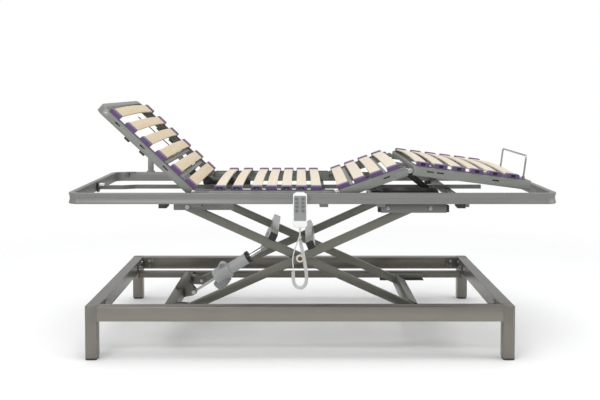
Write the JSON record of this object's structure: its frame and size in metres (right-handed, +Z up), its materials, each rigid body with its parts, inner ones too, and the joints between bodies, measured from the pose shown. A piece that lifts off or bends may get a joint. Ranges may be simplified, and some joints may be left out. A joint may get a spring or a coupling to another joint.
{
  "type": "adjustable bed base",
  "caption": "Electric slatted bed base: floor frame, scissor lift and a rimmed platform with tilting back, thigh and leg sections.",
  "frame": {"origin": "middle of the platform's length and the floor frame's width, on the floor", "axes": "+X towards the foot end, +Y away from the handset side, +Z up"},
  "size_m": [2.048, 1.06, 1.0457],
  "materials": {
    "frame_steel": "fine brushed, clear coated",
    "platform_steel": "fine brushed, clear coated",
    "arm_paint": "satin metallic paint",
    "cross_aluminium": "satin",
    "section_paint": "satin metallic paint",
    "beech": "pale laminated beech, lacquered",
    "cap_rubber": "semi-matt purple",
    "zinc": "zinc plated",
    "black_plastic": "fine grain",
    "actuator_plastic": "fine grain",
    "motor_grey": "fine grain",
    "bright_rod": "polished",
    "pivot_white": "smooth",
    "handset_white": "satin",
    "handset_grey": "satin film",
    "button_grey": "soft touch",
    "cord_grey": "satin"
  },
  "bodies": {
    "base": {"base_rails": "frame_steel", "base_legs": "frame_steel", "foot_glides": "black_plastic", "corner_brackets": "frame_steel", "inner_frame": "frame_steel", "base_roller_guides": "frame_steel", "pivot_brackets": "frame_steel", "base_bolts": "zinc"},
    "arm_a": {"arm_a_bars": "arm_paint", "arm_a_cross_tube": "cross_aluminium"},
    "arm_b": {"arm_b_bars": "arm_paint", "arm_b_cross_tube": "cross_aluminium", "arm_b_foot_tube": "arm_paint", "lift_clevis": "arm_paint", "centre_pivots": "pivot_white"},
    "low_wheels": {"low_wheelset": "zinc"},
    "top_wheels": {"top_wheelset": "zinc"},
    "lift_housing": {"lift_gearbox": "actuator_plastic", "lift_motor": "motor_grey", "lift_outer_tube": "actuator_plastic"},
    "lift_rod": {"lift_inner_tube": "bright_rod"},
    "platform": {"platform_rails": "platform_steel", "platform_corners": "platform_steel", "cross_members": "platform_steel", "centre_rail": "platform_steel", "head_channels": "platform_steel", "platform_roller_guides": "platform_steel", "seat_rails": "section_paint", "seat_slats": "beech", "seat_caps": "cap_rubber", "platform_bolts": "zinc", "stop_blocks": "black_plastic", "guard_post": "platform_steel", "back_drive": "black_plastic", "leg_drive": "black_plastic", "handset_body": "handset_white", "handset_face": "handset_grey", "cord_fittings": "cord_grey", "cord_leads": "cord_grey", "cord_curl": "cord_grey"},
    "back": {"back_frame": "section_paint", "back_slats": "beech", "back_caps": "cap_rubber"},
    "thigh": {"thigh_frame": "section_paint", "thigh_slats": "beech", "thigh_caps": "cap_rubber"},
    "lower_leg": {"leg_frame": "section_paint", "leg_slats": "beech", "leg_caps": "cap_rubber", "mattress_retainer": "zinc"},
    "back_lever": {"back_lever": "black_plastic"},
    "leg_lever": {"leg_lever": "black_plastic"},
    "button_1": {"handset_button_1": "button_grey"},
    "button_2": {"handset_button_2": "button_grey"},
    "button_3": {"handset_button_3": "button_grey"},
    "button_4": {"handset_button_4": "button_grey"},
    "button_5": {"handset_button_5": "button_grey"},
    "button_6": {"handset_button_6": "button_grey"},
    "button_7": {"handset_button_7": "button_grey"},
    "button_8": {"handset_button_8": "button_grey"}
  },
  "joints": [
    {"name": "lift", "type": "hinge", "parent": "base", "child": "arm_a", "pos_m": [-0.54435, 0, 0.148], "axis": [0, -1, 0], "range_deg": [-9.55, 6.95]},
    {"name": "arm_cross", "type": "hinge", "parent": "arm_a", "child": "arm_b", "pos_m": [-0.052, 0, 0.36979], "axis": [0, -1, 0], "range_deg": [-13.9, 19.1]},
    {"name": "platform_level", "type": "hinge", "parent": "arm_b", "child": "platform", "pos_m": [-0.54435, 0, 0.59158], "axis": [0, -1, 0], "range_deg": [-9.55, 6.95]},
    {"name": "low_wheels_roll", "type": "hinge", "parent": "arm_b", "child": "low_wheels", "pos_m": [0.44035, 0, 0.148], "axis": [0, 1, 0], "continuous": true},
    {"name": "top_wheels_roll", "type": "hinge", "parent": "arm_a", "child": "top_wheels", "pos_m": [0.44035, 0, 0.59158], "axis": [0, 1, 0], "continuous": true},
    {"name": "lift_housing_tilt", "type": "hinge", "parent": "base", "child": "lift_housing", "pos_m": [-0.549, 0, 0.156], "axis": [0, -1, 0], "range_deg": [-16.81, 12.23]},
    {"name": "lift_rod_tilt", "type": "hinge", "parent": "arm_b", "child": "lift_rod", "pos_m": [-0.222, 0, 0.365], "axis": [0, -1, 0], "range_deg": [-26.36, 19.18]},
    {"name": "back_tilt", "type": "hinge", "parent": "platform", "child": "back", "pos_m": [-0.497, 0, 0.675], "axis": [0, 1, 0], "range_deg": [-39, 27]},
    {"name": "thigh_tilt", "type": "hinge", "parent": "platform", "child": "thigh", "pos_m": [0.105, 0, 0.675], "axis": [0, -1, 0], "range_deg": [-19.5, 16]},
    {"name": "knee_bend", "type": "hinge", "parent": "thigh", "child": "lower_leg", "pos_m": [0.40882, 0, 0.76668], "axis": [0, -1, 0], "range_deg": [-22.08, 26.91]},
    {"name": "back_lever_turn", "type": "hinge", "parent": "platform", "child": "back_lever", "pos_m": [-0.492, 0, 0.663], "axis": [0, 1, 0], "range_deg": [-35.88, 24.84]},
    {"name": "leg_lever_turn", "type": "hinge", "parent": "platform", "child": "leg_lever", "pos_m": [0.554, 0, 0.633], "axis": [0, 1, 0], "range_deg": [-41.92, 34.4]},
    {"name": "button_1_press", "type": "slide", "parent": "platform", "child": "button_1", "axis": [0, 1, 0], "range_m": [0, 0.001], "stiffness_N_per_m": 600, "springref_m": -0.001},
    {"name": "button_2_press", "type": "slide", "parent": "platform", "child": "button_2", "axis": [0, 1, 0], "range_m": [0, 0.001], "stiffness_N_per_m": 600, "springref_m": -0.001},
    {"name": "button_3_press", "type": "slide", "parent": "platform", "child": "button_3", "axis": [0, 1, 0], "range_m": [0, 0.001], "stiffness_N_per_m": 600, "springref_m": -0.001},
    {"name": "button_4_press", "type": "slide", "parent": "platform", "child": "button_4", "axis": [0, 1, 0], "range_m": [0, 0.001], "stiffness_N_per_m": 600, "springref_m": -0.001},
    {"name": "button_5_press", "type": "slide", "parent": "platform", "child": "button_5", "axis": [0, 1, 0], "range_m": [0, 0.001], "stiffness_N_per_m": 600, "springref_m": -0.001},
    {"name": "button_6_press", "type": "slide", "parent": "platform", "child": "button_6", "axis": [0, 1, 0], "range_m": [0, 0.001], "stiffness_N_per_m": 600, "springref_m": -0.001},
    {"name": "button_7_press", "type": "slide", "parent": "platform", "child": "button_7", "axis": [0, 1, 0], "range_m": [0, 0.001], "stiffness_N_per_m": 600, "springref_m": -0.001},
    {"name": "button_8_press", "type": "slide", "parent": "platform", "child": "button_8", "axis": [0, 1, 0], "range_m": [0, 0.001], "stiffness_N_per_m": 600, "springref_m": -0.001}
  ],
  "couplings": [
    {"joint": "arm_cross", "follows": "lift", "ratio": -2},
    {"joint": "platform_level", "follows": "lift", "ratio": 1},
    {"joint": "lift_housing_tilt", "follows": "lift", "ratio": 1.76},
    {"joint": "lift_rod_tilt", "follows": "lift", "ratio": 2.76},
    {"joint": "knee_bend", "follows": "thigh_tilt", "ratio": -1.38},
    {"joint": "back_lever_turn", "follows": "back_tilt", "ratio": 0.92},
    {"joint": "leg_lever_turn", "follows": "thigh_tilt", "ratio": 2.15}
  ]
}
